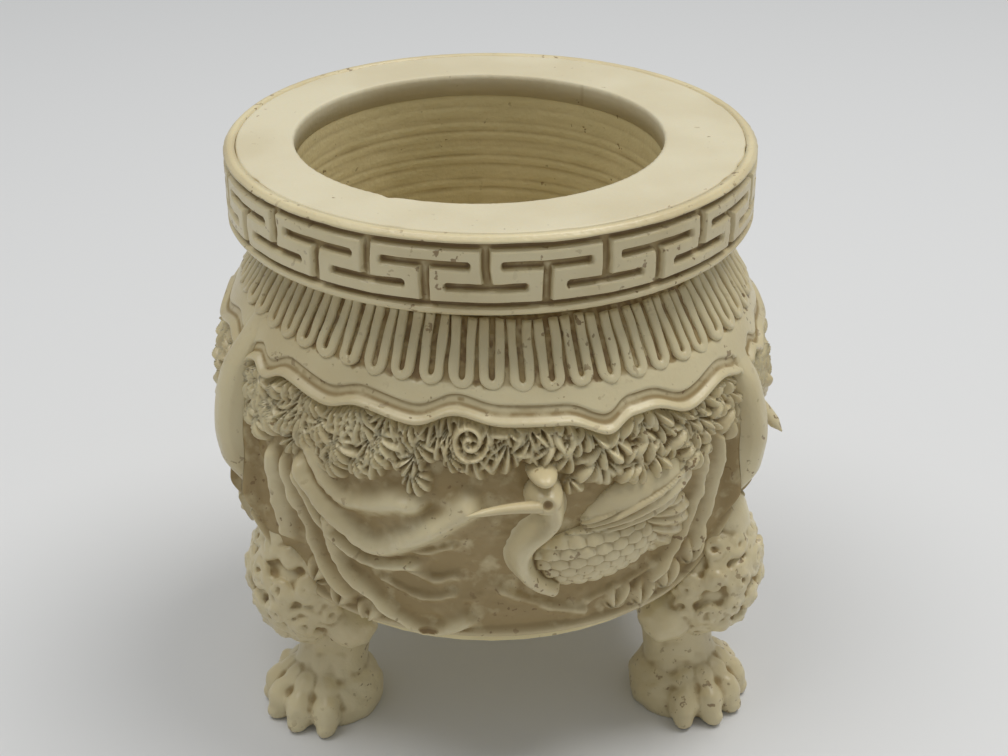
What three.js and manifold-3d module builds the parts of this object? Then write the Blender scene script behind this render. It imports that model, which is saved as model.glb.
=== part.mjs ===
// A small three-footed vessel in imitation ivory: a turned cup dressed with a fret collar, a fluted
// shoulder, three carved scenes with cranes, and three curly legs with lion paws.
// Millimetres and degrees, +Z up. The origin is on the axis, at the height of the soles.
// Azimuth 0 is the front (-Y), and azimuth grows towards +X.
import * as THREE from "three";
import { mergeVertices } from "three/addons/utils/BufferGeometryUtils.js";
import Module from "manifold-3d";

const wasm = await Module();
wasm.setup();

const clearance = 0.3; // between neighbouring pieces

// Cup and rim
const height = 82.6;
const boreRadius = 24.7;
const boreShift = -1.5; // the mouth sits a little to the left of the axis
const bowlRadius = 28.2;
const bowlFloorHeight = 33;
const bowlCornerRadius = 7;
const rimRadius = 33.9;
const rimThickness = 3.2;

// Collar, from its top edge down
const collarRadius = 35.5;
const collarHeight = 10.1;
const beadHeight = 1.0;
const channelHeight = 1.1;
const channelDepth = 1.0;
const fretPeriods = 15;
const fretStart = -1; // azimuth of the first hanging groove
const fretLine = 1.1; // width of the fret's grooves
const upperBarDepth = 3.3; // top of the upper bars below the collar's top edge
const lowerBarDepth = 6.2;
const upperBarSpan = 16; // degrees
const lowerBarSpan = 14.6;

// Body
const neckRadius = 30.4;
const neckRingRadius = 29.9;
const neckHeight = 2.7;
const bellyRadius = 40.1;
const bellyHeight = 47;
const footingRadius = 33.9; // radius of the scenes' lower edge
const footingHeight = 25.5;
const footingRise = 10; // how far that edge rises towards the legs
const footingPower = 9;
const fluteCount = 57;
const fluteWidth = 1.3;
const fluteDepth = 0.8;
const fluteFoot = 63.2; // height of the flutes' lower ends
const hemHeight = 58.2;
const hemLean = 1.2; // the hem hangs lower on the right by this much
const lipHeight = 1.7;
const lipRise = 0.8;
const windowRecess = 3;
const stripRise = 1.5;
const stripFoot = 37;
const stripHalfWidth = 2.3; // degrees
const stripSlope = 1; // degrees, over which a strip's side falls from the hem
const frontSpan = 124; // degrees between the strips on both sides of the front scene
const foliageDrop = 13; // depth of the pine foliage below the hem
const foliageRise = 2.8;
const edgeBead = 0.9;

// Underside and legs
const baseRadius = 31.4;
const baseThickness = 3;
const legReach = 31; // radius of the paws' middle
const legTurn = 1.5; // the legs stand turned by this angle
const legShift = 1.6; // and as a group this far to the right
const kneeReach = 33.4;
const kneeHeight = 24;
const kneeSize = [6.8, 8, 9]; // outwards, sideways, upwards
const ankleRadius = 4.9;
const ankleReach = 28.2;
const hipRadius = 6.6;
const pawHeight = 8.2;
const pawSize = [7.6, 7, 6.6];
const toeSize = [4.4, 2.5, 4];
const toeAngles = [-66, -35, -4, 28, 60];
const toeReach = 6.2;
const pegRadius = 2.2;
const pegDepth = 8.5; // how far a peg goes into its leg

// The hem's lower edge over one window: share of the window's half span, height above hemHeight.
const hemOutline = [
  [-1, -1.2],
  [-0.96, 0.2],
  [-0.88, -1.6],
  [-0.79, 0.4],
  [-0.57, -0.8],
  [-0.46, 0.6],
  [-0.25, -0.4],
  [-0.12, 1.7],
  [0.03, 0.4],
  [0.25, 0.3],
  [0.39, -1.9],
  [0.46, 0.2],
  [0.56, 0.4],
  [0.69, -1.6],
  [0.9, 0.3],
  [1, -0.8],
];

const radians = THREE.MathUtils.degToRad;
const collarFoot = height - collarHeight;
const shoulderTop = collarFoot - neckHeight;
const innerRadius = bowlRadius + clearance;
const baseTop = footingHeight - clearance;
const baseFoot = baseTop - baseThickness;
const bowlFoot = baseTop + clearance;

function place(azimuth, radius, z) {
  const a = radians(azimuth);
  return new THREE.Vector3(radius * Math.sin(a), -radius * Math.cos(a), z);
}

// Solids

function solidOf(geometry) {
  const bare = new THREE.BufferGeometry();
  bare.setAttribute("position", geometry.getAttribute("position").clone());
  bare.setIndex(geometry.index);
  const merged = mergeVertices(bare, 1e-4);
  const triVerts = new Uint32Array(merged.index.array);
  const make = () =>
    new wasm.Manifold(
      new wasm.Mesh({ numProp: 3, vertProperties: merged.attributes.position.array, triVerts }),
    );
  const made = make();
  if (made.volume() > 0) return made;
  for (let i = 0; i < triVerts.length; i += 3) {
    [triVerts[i + 1], triVerts[i + 2]] = [triVerts[i + 2], triVerts[i + 1]];
  }
  return make();
}

function geometryOf(solid) {
  const mesh = solid.getMesh();
  const points = new Float32Array(mesh.numVert * 3);
  for (let i = 0; i < mesh.numVert; i += 1) {
    points.set(mesh.vertProperties.subarray(i * mesh.numProp, i * mesh.numProp + 3), i * 3);
  }
  const geometry = new THREE.BufferGeometry();
  geometry.setAttribute("position", new THREE.BufferAttribute(points, 3));
  geometry.setIndex(new THREE.BufferAttribute(mesh.triVerts, 1));
  geometry.computeVertexNormals();
  return geometry;
}

const join = (solids) => solids.reduce((a, b) => a.add(b));

// A profile of [radius, height] points, turned about the axis.
function turned(profile, segments) {
  const closed = [...profile, profile[0]].map(([r, z]) => new THREE.Vector2(r, z));
  return solidOf(new THREE.LatheGeometry(closed, segments).rotateX(Math.PI / 2));
}

function cylinder(x, y, radius, low, high, segments, topRadius = radius) {
  const shape = new THREE.CylinderGeometry(topRadius, radius, high - low, segments);
  return solidOf(shape.rotateX(Math.PI / 2).translate(x, y, (low + high) / 2));
}

// A closed section that changes with azimuth, carried round the axis. sectionAt gives the section's
// [radius, height] points, the same number at each azimuth. An open sweep gets flat ends.
function carried(azimuths, sectionAt, closed) {
  const sections = azimuths.map(sectionAt);
  const count = sections[0].length;
  const points = [];
  sections.forEach((section, i) =>
    section.forEach(([r, z]) => points.push(...place(azimuths[i], r, z).toArray())),
  );
  const faces = [];
  const columns = closed ? azimuths.length : azimuths.length - 1;
  for (let i = 0; i < columns; i += 1) {
    const here = i * count;
    const next = ((i + 1) % azimuths.length) * count;
    for (let k = 0; k < count; k += 1) {
      const after = (k + 1) % count;
      faces.push(here + k, next + k, next + after, here + k, next + after, here + after);
    }
  }
  if (!closed) {
    const last = (azimuths.length - 1) * count;
    const flat = (section) => section.map(([r, z]) => new THREE.Vector2(r, z));
    // The faces between two columns run against a section's own turn at the first end.
    const turn = THREE.ShapeUtils.area(flat(sections[0])) > 0 ? 1 : -1;
    const cap = (section, offset, side) => {
      for (const [a, b, c] of THREE.ShapeUtils.triangulateShape(flat(section), [])) {
        const points2 = [a, b, c].map((k) => flat(section)[k]);
        const ownTurn = THREE.ShapeUtils.area(points2) > 0 ? 1 : -1;
        if (ownTurn * turn * side > 0) faces.push(offset + a, offset + b, offset + c);
        else faces.push(offset + a, offset + c, offset + b);
      }
    };
    cap(sections[0], 0, 1);
    cap(sections[sections.length - 1], last, -1);
  }
  const geometry = new THREE.BufferGeometry();
  geometry.setAttribute("position", new THREE.Float32BufferAttribute(points, 3));
  geometry.setIndex(faces);
  return solidOf(geometry);
}

// A block between two azimuths, two radii and two heights.
function arcBlock(from, to, inside, outside, low, high, steps = 3) {
  const azimuths = Array.from({ length: steps + 1 }, (_, i) => from + ((to - from) * i) / steps);
  const section = [
    [inside, low],
    [outside, low],
    [outside, high],
    [inside, high],
  ];
  return carried(azimuths, () => section, false);
}

// An ellipsoid whose own axes point outwards, sideways and upwards at an azimuth, then tipped sideways.
function ellipsoid(centre, [outwards, sideways, upwards], azimuth, tip = 0, detail = 10) {
  const shape = new THREE.SphereGeometry(1, detail, Math.round(detail * 0.66));
  shape.scale(sideways, outwards, upwards).rotateY(radians(-tip)).rotateZ(radians(azimuth));
  return solidOf(shape.translate(centre.x, centre.y, centre.z));
}

function tube(points, radius, sides, steps) {
  const corners = Array.from({ length: sides }, (_, i) => {
    const a = (2 * Math.PI * i) / sides;
    return new THREE.Vector2(radius * Math.cos(a), radius * Math.sin(a));
  });
  const extrudePath = new THREE.CatmullRomCurve3(points);
  const shape = new THREE.Shape(corners);
  return solidOf(new THREE.ExtrudeGeometry(shape, { steps, extrudePath, bevelEnabled: false }));
}

// A cone from its base to its tip.
function spike(base, tip, radius, sides) {
  const length = base.distanceTo(tip);
  const shape = new THREE.ConeGeometry(radius, length, sides).translate(0, length / 2, 0);
  const along = tip.clone().sub(base).normalize();
  shape.applyQuaternion(
    new THREE.Quaternion().setFromUnitVectors(new THREE.Vector3(0, 1, 0), along),
  );
  return solidOf(shape.translate(base.x, base.y, base.z));
}

// The body's outline

// Radius of the plain body at a height: a quarter sine from the neck to the belly, then a slow fall.
function bodyRadius(z) {
  if (z >= bellyHeight) {
    const t = Math.min(1, (shoulderTop - z) / (shoulderTop - bellyHeight));
    return neckRadius + (bellyRadius - neckRadius) * Math.sin((Math.max(0, t) * Math.PI) / 2);
  }
  const t = (bellyHeight - z) / (bellyHeight - footingHeight);
  return bellyRadius - (bellyRadius - footingRadius) * t ** 1.45;
}

const stripAzimuths = [-frontSpan / 2, frontSpan / 2, 180];
const windows = {
  front: { middle: 0, half: frontSpan / 2 - stripHalfWidth - stripSlope },
  right: {
    middle: (180 + frontSpan / 2) / 2,
    half: (180 - frontSpan / 2) / 2 - stripHalfWidth - stripSlope,
  },
  left: {
    middle: -(180 + frontSpan / 2) / 2,
    half: (180 - frontSpan / 2) / 2 - stripHalfWidth - stripSlope,
  },
};

function hemAt(window, azimuth) {
  const share = THREE.MathUtils.clamp((azimuth - window.middle) / window.half, -1, 1);
  const k = Math.min(
    hemOutline.length - 2,
    hemOutline.findLastIndex(([at]) => at <= share),
  );
  const [a, low] = hemOutline[k];
  const [b, high] = hemOutline[k + 1];
  const rise = low + ((high - low) * (share - a)) / (b - a);
  return hemHeight + rise - hemLean * Math.sin(radians(azimuth));
}

// Lower edge of a scene: nearly level, rising to the knees at both sides.
function footingAt(window, azimuth) {
  const share = Math.min(1, Math.abs(azimuth - window.middle) / window.half);
  return footingHeight + footingRise * share ** footingPower;
}

// The azimuths of a window's columns: each point of the hem, and one between wide ones.
function columnsOf(window) {
  const found = [];
  hemOutline.forEach(([share], i) => {
    const here = window.middle + share * window.half;
    const [nextShare] = hemOutline[i + 1] ?? [share];
    const gap = (nextShare - share) * window.half;
    found.push(here);
    if (gap > 6) found.push(here + gap / 2);
  });
  return found;
}

// Pieces

function rimPlate() {
  const low = height - rimThickness;
  const plate = cylinder(0, 0, rimRadius, low, height, 60);
  return plate.subtract(cylinder(boreShift, 0, boreRadius, low - 1, height + 1, 48));
}

function fretCollar() {
  const ledge = height - rimThickness - clearance;
  const deep = collarRadius - channelDepth;
  const ring = turned(
    [
      [innerRadius, collarFoot],
      [collarRadius - 0.3, collarFoot],
      [collarRadius, collarFoot + beadHeight * 0.8],
      [deep, collarFoot + beadHeight * 0.8],
      [deep, collarFoot + beadHeight * 0.8 + channelHeight],
      [collarRadius, collarFoot + beadHeight * 0.8 + channelHeight],
      [collarRadius, height - beadHeight - channelHeight],
      [deep, height - beadHeight - channelHeight],
      [deep, height - beadHeight],
      [collarRadius, height - beadHeight],
      [collarRadius - 0.3, height],
      [rimRadius + clearance, height],
      [rimRadius + clearance, ledge],
      [innerRadius, ledge],
    ],
    60,
  );
  const lineSpan = THREE.MathUtils.radToDeg(fretLine / collarRadius);
  const outside = collarRadius + 1;
  const cuts = [];
  for (let i = 0; i < fretPeriods; i += 1) {
    const hanging = fretStart + (360 * i) / fretPeriods;
    const standing = hanging + 180 / fretPeriods;
    const lowTop = height - lowerBarDepth;
    const highTop = height - upperBarDepth;
    const stroke = (at, low, high) =>
      arcBlock(at - lineSpan / 2, at + lineSpan / 2, deep, outside, low, high, 1);
    const bar = (at, span, top) =>
      arcBlock(at - span / 2, at + span / 2, deep, outside, top - fretLine, top, 3);
    cuts.push(stroke(hanging, lowTop - 0.1, height - beadHeight - 0.1));
    cuts.push(bar(hanging, lowerBarSpan, lowTop));
    cuts.push(stroke(standing, collarFoot + beadHeight, highTop - fretLine + 0.1));
    cuts.push(bar(standing, upperBarSpan, highTop));
  }
  return ring.subtract(join(cuts));
}

function neckRing() {
  return turned(
    [
      [innerRadius, shoulderTop + clearance],
      [neckRingRadius, shoulderTop + clearance],
      [neckRingRadius, collarFoot - clearance],
      [innerRadius, collarFoot - clearance],
    ],
    48,
  );
}

function shoulderMantle() {
  const levels = 4;
  const edges = [];
  for (const window of Object.values(windows)) {
    for (const azimuth of columnsOf(window)) edges.push([azimuth, hemAt(window, azimuth), false]);
  }
  for (const azimuth of stripAzimuths) {
    for (const side of [-1, 0, 1]) edges.push([azimuth + side * stripHalfWidth, stripFoot, true]);
  }
  const wrapped = edges.map(([azimuth, ...rest]) => [(azimuth + 360) % 360, ...rest]);
  wrapped.sort((a, b) => a[0] - b[0]);
  const byAzimuth = new Map(wrapped.map(([azimuth, ...rest]) => [azimuth, rest]));
  const mantle = carried(
    [...byAzimuth.keys()],
    (azimuth) => {
      const [edge, strip] = byAzimuth.get(azimuth);
      const lipTop = strip ? edge + 0.5 : edge + lipHeight;
      const section = [
        [innerRadius, edge],
        [innerRadius, shoulderTop],
        [neckRadius, shoulderTop],
      ];
      for (let k = 1; k <= levels; k += 1) {
        const z = shoulderTop + ((lipTop - shoulderTop) * k) / levels;
        const rise = strip ? stripRise * THREE.MathUtils.smoothstep(shoulderTop - z, 8, 16) : 0;
        section.push([bodyRadius(z) + rise, z]);
      }
      const proud = strip ? stripRise : lipRise;
      section.push([bodyRadius(lipTop) + proud, lipTop - 0.4]);
      section.push([bodyRadius(edge) + proud, edge]);
      return section;
    },
    true,
  );
  const flutes = [];
  for (let i = 0; i < fluteCount; i += 1) {
    const azimuth = (360 * i) / fluteCount;
    const foot = fluteFoot - hemLean * Math.sin(radians(azimuth));
    const half = THREE.MathUtils.radToDeg(fluteWidth / 2 / neckRadius);
    const section = [
      [bodyRadius(foot) - fluteDepth, foot],
      [bodyRadius(foot) + 2, foot],
      [neckRadius + 2, shoulderTop + 1],
      [neckRadius - fluteDepth, shoulderTop + 1],
    ];
    flutes.push(carried([azimuth - half, azimuth + half], () => section, false));
  }
  return mantle.subtract(join(flutes));
}

function bowl() {
  const top = height - rimThickness - clearance;
  const wall = cylinder(0, 0, bowlRadius, bowlFoot, top, 60);
  const corner = [];
  for (let i = 0; i <= 4; i += 1) {
    const a = (i * Math.PI) / 8;
    corner.push([
      boreRadius - bowlCornerRadius + bowlCornerRadius * Math.sin(a),
      bowlFloorHeight + bowlCornerRadius - bowlCornerRadius * Math.cos(a),
    ]);
  }
  const hollow = turned(
    [[0, bowlFloorHeight], ...corner, [boreRadius, height + 1], [0, height + 1]],
    48,
  );
  return wall.subtract(hollow.translate([boreShift, 0, 0]));
}

// Radius of a scene's carved face: foliage stands out under the hem, and a bead runs along the foot.
function sceneRadius(top, foot, z) {
  const ground = bodyRadius(z) - windowRecess * THREE.MathUtils.smoothstep(z, foot, foot + 14);
  const belowHem = top - z;
  const foliage =
    foliageRise *
    THREE.MathUtils.smoothstep(belowHem, 0.5, 2.5) *
    (1 - THREE.MathUtils.smoothstep(belowHem, foliageDrop - 1.5, foliageDrop));
  return ground + foliage + edgeBead * (1 - THREE.MathUtils.smoothstep(z, foot, foot + 2.5));
}

const sceneLevels = [0, 0.02, 0.08, 0.26, 0.32, 0.48, 0.65, 0.82, 0.93, 1];

function sceneSection(window, azimuth, extra) {
  const top = hemAt(window, azimuth) - clearance;
  const foot = footingAt(window, azimuth);
  const section = [
    [innerRadius, foot - extra],
    [innerRadius, top + extra],
  ];
  for (const share of sceneLevels) {
    const z = top + (foot - top) * share;
    section.push([sceneRadius(top, foot, z) + extra, z]);
  }
  const last = section[section.length - 1];
  section[2][1] += extra;
  last[1] -= extra;
  return section;
}

function scenePanel(window) {
  return carried(columnsOf(window), (azimuth) => sceneSection(window, azimuth, 0), false);
}

// The room that a scene takes up, with a little clearance round it.
function sceneRoom(window) {
  return carried(columnsOf(window), (azimuth) => sceneSection(window, azimuth, clearance), false);
}

// A crane against its scene. Places are [azimuth from the scene's middle, stand-off, height].
function crane(window, pose) {
  const at = ([azimuth, standOff, z]) =>
    place(window.middle + azimuth, bodyRadius(z) - windowRecess + standOff, z);
  const facing = window.middle;
  const parts = [
    ellipsoid(at(pose.body), [3, 9.5, 5.6], facing + pose.body[0], pose.bodyTip),
    ellipsoid(at(pose.wing), [2.6, 10, 3.8], facing + pose.wing[0], pose.wingTip),
    tube(pose.neck.map(at), 1.6, 8, 8),
    ellipsoid(at(pose.head), [2.2, 2.6, 2.1], facing + pose.head[0], 0, 10),
    spike(at(pose.head), at(pose.beak), 1.35, 8),
  ];
  if (pose.crest) parts.push(ellipsoid(at(pose.crest), [1.9, 1.8, 1.4], facing + pose.crest[0], 0, 8));
  return join(parts).subtract(sceneRoom(window));
}

const proudPose = {
  body: [19, 1.8, 38],
  bodyTip: -8,
  wing: [27, 1.8, 44.6],
  wingTip: -14,
  neck: [
    [8.5, 1.4, 39],
    [6.6, 2, 42.4],
    [9.5, 2.4, 45.4],
    [10.4, 3, 48.6],
  ],
  head: [9.8, 3.6, 49.2],
  crest: [9.4, 3.4, 52],
  beak: [-4.6, 4.6, 48.2],
};
const stoopingPose = {
  body: [-4, 1.6, 41.5],
  bodyTip: 10,
  wing: [7, 1.4, 47.5],
  wingTip: -10,
  neck: [
    [-12, 1.4, 42],
    [-17, 2.4, 43.5],
    [-20, 3.4, 42],
    [-21, 4, 39.8],
  ],
  head: [-21, 4.2, 39],
  beak: [-25.5, 7.8, 34.6],
};

function baseDisc() {
  const disc = cylinder(0, 0, baseRadius, baseFoot, baseTop, 48);
  return disc.subtract(
    join(
      legAzimuths.map(([, azimuth]) => {
        const p = legPlace(azimuth, pegReach);
        return cylinder(p.x, p.y, pegRadius + clearance, baseFoot - 1, baseTop + 1, 16);
      }),
    ),
  );
}

const legAzimuths = [
  ["left", legTurn - 60],
  ["right", legTurn + 60],
  ["rear", legTurn + 180],
];
const pegReach = ankleReach - 1.4;
const pegFoot = baseFoot - pegDepth;
const legPlace = (azimuth, reach, z = 0) => place(azimuth, reach, z).add(new THREE.Vector3(legShift, 0, 0));

// The room that the body takes up above the legs: the scenes, the strips between them and the base.
function bodyRoom() {
  const columns = [];
  for (const window of Object.values(windows)) {
    for (const azimuth of columnsOf(window)) columns.push([azimuth, footingAt(window, azimuth), 0]);
  }
  for (const azimuth of stripAzimuths) {
    for (const side of [-1, 1]) {
      columns.push([azimuth + side * (stripHalfWidth + 0.4), stripFoot, stripRise]);
    }
  }
  const wrapped = columns.map(([azimuth, ...rest]) => [(azimuth + 360) % 360, ...rest]);
  wrapped.sort((a, b) => a[0] - b[0]);
  const byAzimuth = new Map(wrapped.map(([azimuth, ...rest]) => [azimuth, rest]));
  const room = carried(
    [...byAzimuth.keys()],
    (azimuth) => {
      const [foot, rise] = byAzimuth.get(azimuth);
      const outer = [0, 0.5, 1].map((share) => {
        const z = foot + (bellyHeight - foot) * share;
        return [bodyRadius(z) + rise + edgeBead + clearance, z - (share ? 0 : clearance)];
      });
      return [[innerRadius - 4, bellyHeight], [innerRadius - 4, foot - clearance], ...outer];
    },
    true,
  );
  const base = cylinder(0, 0, baseRadius + clearance, baseFoot - clearance, bellyHeight, 48);
  return room.add(base);
}

function leg(azimuth, room) {
  const at = (reach, sideways, z) => {
    const a = radians(azimuth);
    const middle = legPlace(azimuth, reach, z);
    return middle.add(new THREE.Vector3(Math.cos(a), Math.sin(a), 0).multiplyScalar(sideways));
  };
  const ankle = at(ankleReach, 0, 0);
  const parts = [
    ellipsoid(at(kneeReach, 0, kneeHeight), kneeSize, azimuth, 0, 14),
    cylinder(ankle.x, ankle.y, ankleRadius, pawHeight * 0.4, baseFoot + 2, 14, hipRadius),
    ellipsoid(at(legReach - 1.5, 0, 2.6), pawSize, azimuth, 0, 12),
  ];
  for (const side of [-1, 1]) {
    parts.push(ellipsoid(at(kneeReach - 3.2, side * 8, kneeHeight - 4.6), [4, 5, 3.4], azimuth, side * 30, 8));
    parts.push(ellipsoid(at(kneeReach + 2.4, side * 5.4, kneeHeight - 4.2), [3.4, 3.2, 3.4], azimuth, 0, 8));
  }
  for (const angle of toeAngles) {
    const a = radians(angle);
    const centre = at(legReach - 0.4 + toeReach * Math.cos(a), toeReach * Math.sin(a), 2.7);
    parts.push(ellipsoid(centre, toeSize, azimuth + angle, 0, 8));
  }
  const peg = at(pegReach, 0, 0);
  const floor = cylinder(0, 0, 3 * bellyRadius, -20, 0, 4);
  const pegHole = cylinder(peg.x, peg.y, pegRadius + clearance, pegFoot - clearance, height, 16);
  const scenes = Object.values(windows).map(sceneRoom);
  return join(parts).subtract(join([floor, pegHole, ...scenes])).subtract(room);
}

function legPeg(azimuth) {
  const p = legPlace(azimuth, pegReach);
  return cylinder(p.x, p.y, pegRadius, pegFoot, baseTop - clearance, 16);
}

// Assembly

const ivory = (color, roughness) => new THREE.MeshStandardMaterial({ color, roughness, metalness: 0 });
const vessel = new THREE.Group();

function addPiece(name, solid, material) {
  const mesh = new THREE.Mesh(geometryOf(solid), material);
  mesh.name = name;
  vessel.add(mesh);
}

addPiece("bowl", bowl(), ivory(0xcfc8a6, 0.55));
addPiece("rim_plate", rimPlate(), ivory(0xe6dfc2, 0.6));
addPiece("fret_collar", fretCollar(), ivory(0xd9cfb0, 0.45));
addPiece("neck_ring", neckRing(), ivory(0xa89a6e, 0.6));
addPiece("shoulder_mantle", shoulderMantle(), ivory(0xded4b4, 0.4));
const poses = { front: proudPose, right: stoopingPose, left: proudPose };
for (const [side, window] of Object.entries(windows)) {
  addPiece("scene_panel_" + side, scenePanel(window), ivory(0xcdbf98, 0.5));
  addPiece("crane_" + side, crane(window, poses[side]), ivory(0xe0d7b9, 0.4));
}
addPiece("base_disc", baseDisc(), ivory(0xb9ac84, 0.6));
const room = bodyRoom();
for (const [side, azimuth] of legAzimuths) {
  addPiece("leg_" + side, leg(azimuth, room), ivory(0xd3c6a0, 0.45));
  addPiece("leg_peg_" + side, legPeg(azimuth), ivory(0xc9b98a, 0.6));
}

export default vessel;
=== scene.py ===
import math

import bmesh
import bpy
import numpy as np
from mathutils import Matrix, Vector


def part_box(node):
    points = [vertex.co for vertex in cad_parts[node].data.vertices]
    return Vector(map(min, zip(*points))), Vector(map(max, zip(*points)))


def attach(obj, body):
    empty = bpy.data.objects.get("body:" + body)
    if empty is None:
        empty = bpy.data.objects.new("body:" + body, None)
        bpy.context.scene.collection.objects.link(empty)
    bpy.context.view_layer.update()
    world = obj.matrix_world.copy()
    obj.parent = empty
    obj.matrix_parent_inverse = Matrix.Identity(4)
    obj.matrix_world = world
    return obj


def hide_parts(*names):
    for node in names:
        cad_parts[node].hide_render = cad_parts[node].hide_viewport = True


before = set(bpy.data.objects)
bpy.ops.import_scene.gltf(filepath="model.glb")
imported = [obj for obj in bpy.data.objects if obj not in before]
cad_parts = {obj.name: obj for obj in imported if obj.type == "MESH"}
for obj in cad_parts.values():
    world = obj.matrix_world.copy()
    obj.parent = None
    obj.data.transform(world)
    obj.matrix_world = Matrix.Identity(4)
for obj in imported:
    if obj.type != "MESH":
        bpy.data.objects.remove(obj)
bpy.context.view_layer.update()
mm = 0.001

# Sizes in millimetres. Heights and radii come from the frame, azimuth 0 is the front and grows to the right.
vessel = {
    "top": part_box("rim_plate")[1][2] / mm,
    "rimRadius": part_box("rim_plate")[1][0] / mm,
    "rimFoot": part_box("rim_plate")[0][2] / mm,
    "collarRadius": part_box("fret_collar")[1][0] / mm,
    "collarFoot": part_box("fret_collar")[0][2] / mm,
    "shoulderTop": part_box("shoulder_mantle")[1][2] / mm,
    "neckRadius": 30.4,
    "bellyRadius": 40.1,
    "bellyHeight": 47.0,
    "footRadius": 33.9,
    "footHeight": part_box("scene_panel_front")[0][2] / mm,
    "wallRadius": 28.6,
    "boreRadius": 24.7,
    "boreShift": -1.5,
}


def ease(x, low, high):
    t = np.clip((x - low) / (high - low), 0, 1)
    return t * t * (3 - 2 * t)


def softNoise(x, y, seed):
    table = np.random.default_rng(seed).random((64, 64)) - 0.5
    i, j = np.floor(x).astype(int), np.floor(y).astype(int)
    u, v = x - i, y - j
    u, v = u * u * (3 - 2 * u), v * v * (3 - 2 * v)
    low = table[i % 64, j % 64] * (1 - u) + table[(i + 1) % 64, j % 64] * u
    high = table[i % 64, (j + 1) % 64] * (1 - u) + table[(i + 1) % 64, (j + 1) % 64] * u
    return low * (1 - v) + high * v


def bodyRadius(z):
    z = np.asarray(z, float)
    up = np.clip((vessel["shoulderTop"] - z) / (vessel["shoulderTop"] - vessel["bellyHeight"]), 0, 1)
    down = np.clip((vessel["bellyHeight"] - z) / (vessel["bellyHeight"] - vessel["footHeight"]), 0, 1.2)
    above = vessel["neckRadius"] + (vessel["bellyRadius"] - vessel["neckRadius"]) * np.sin(up * math.pi / 2)
    below = vessel["bellyRadius"] - (vessel["bellyRadius"] - vessel["footRadius"]) * down**1.45
    return np.where(z >= vessel["bellyHeight"], above, below)


def place(azimuth, radius, z):
    a = math.radians(azimuth)
    return Vector((radius * math.sin(a), -radius * math.cos(a), z))


# Meshes

def makeMesh(name, points, faces):
    mesh = bpy.data.meshes.new(name)
    mesh.from_pydata((np.asarray(points, float) * mm).tolist(), [], faces)
    work = bmesh.new()
    work.from_mesh(mesh)
    bmesh.ops.recalc_face_normals(work, faces=work.faces)
    work.to_mesh(mesh)
    work.free()
    mesh.polygons.foreach_set("use_smooth", [True] * len(mesh.polygons))
    piece = bpy.data.objects.new(name, mesh)
    bpy.context.scene.collection.objects.link(piece)
    return piece


def makeShell(name, azimuths, sections, ring=False, centre=0.0):
    # sections is columns x points x (radius, height), and each column is a closed outline
    columns, rows = sections.shape[:2]
    a = np.radians(azimuths)[:, None]
    r, z = sections[..., 0], sections[..., 1]
    points = np.stack([centre + r * np.sin(a), -r * np.cos(a), z], -1).reshape(-1, 3)
    i = np.arange(columns if ring else columns - 1)[:, None]
    k = np.arange(rows)[None, :]
    after, up = (i + 1) % columns, (k + 1) % rows
    quads = np.stack([i * rows + k, after * rows + k, after * rows + up, i * rows + up], -1)
    faces = quads.reshape(-1, 4).tolist()
    if not ring:
        faces += [list(range(rows)), list(range((columns - 1) * rows, columns * rows))]
    return makeMesh(name, points, faces)


def tubeFaces(rings, corners):
    faces = []
    for k in range(rings - 1):
        for c in range(corners):
            d = (c + 1) % corners
            faces.append([k * corners + c, k * corners + d, (k + 1) * corners + d, (k + 1) * corners + c])
    return faces + [list(range(corners)), list(range((rings - 1) * corners, rings * corners))]


def addWashAndShade(piece, rounds=8, depth=0.22, extra=None):
    # how hollow the surface is at each vertex: 1 in a groove, 0 on a ridge
    mesh = piece.data
    count = len(mesh.vertices)
    points = np.empty(count * 3)
    mesh.vertices.foreach_get("co", points)
    points = points.reshape(-1, 3)
    ends = np.empty(len(mesh.edges) * 2, int)
    mesh.edges.foreach_get("vertices", ends)
    ends = ends.reshape(-1, 2)
    neighbours = np.maximum(np.bincount(ends.ravel(), minlength=count), 1)[:, None]
    smooth = points.copy()
    for _ in range(rounds):
        sums = [
            np.bincount(ends[:, 0], smooth[ends[:, 1], k], count)
            + np.bincount(ends[:, 1], smooth[ends[:, 0], k], count)
            for k in range(3)
        ]
        smooth = np.stack(sums, -1) / neighbours
    normals = np.empty(count * 3)
    mesh.vertices.foreach_get("normal", normals)
    hollow = ((smooth - points) * normals.reshape(-1, 3)).sum(1) / (depth * mm)
    washAndShade = np.clip(hollow * 0.5 + 0.5, 0, 1)
    # extra raises the value: stains, joints and grooves, and painted shade on the neck ring and the panel
    # grounds
    if extra is not None:
        washAndShade = np.maximum(washAndShade, extra)
    mesh.attributes.new("washAndShade", "FLOAT", "POINT").data.foreach_set("value", washAndShade.astype(np.float32))


def finishPiece(piece, material, nodes):
    piece.data.materials.clear()
    piece.data.materials.append(material)
    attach(piece, "root")
    if nodes:
        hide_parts(*nodes)


# Materials

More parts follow.
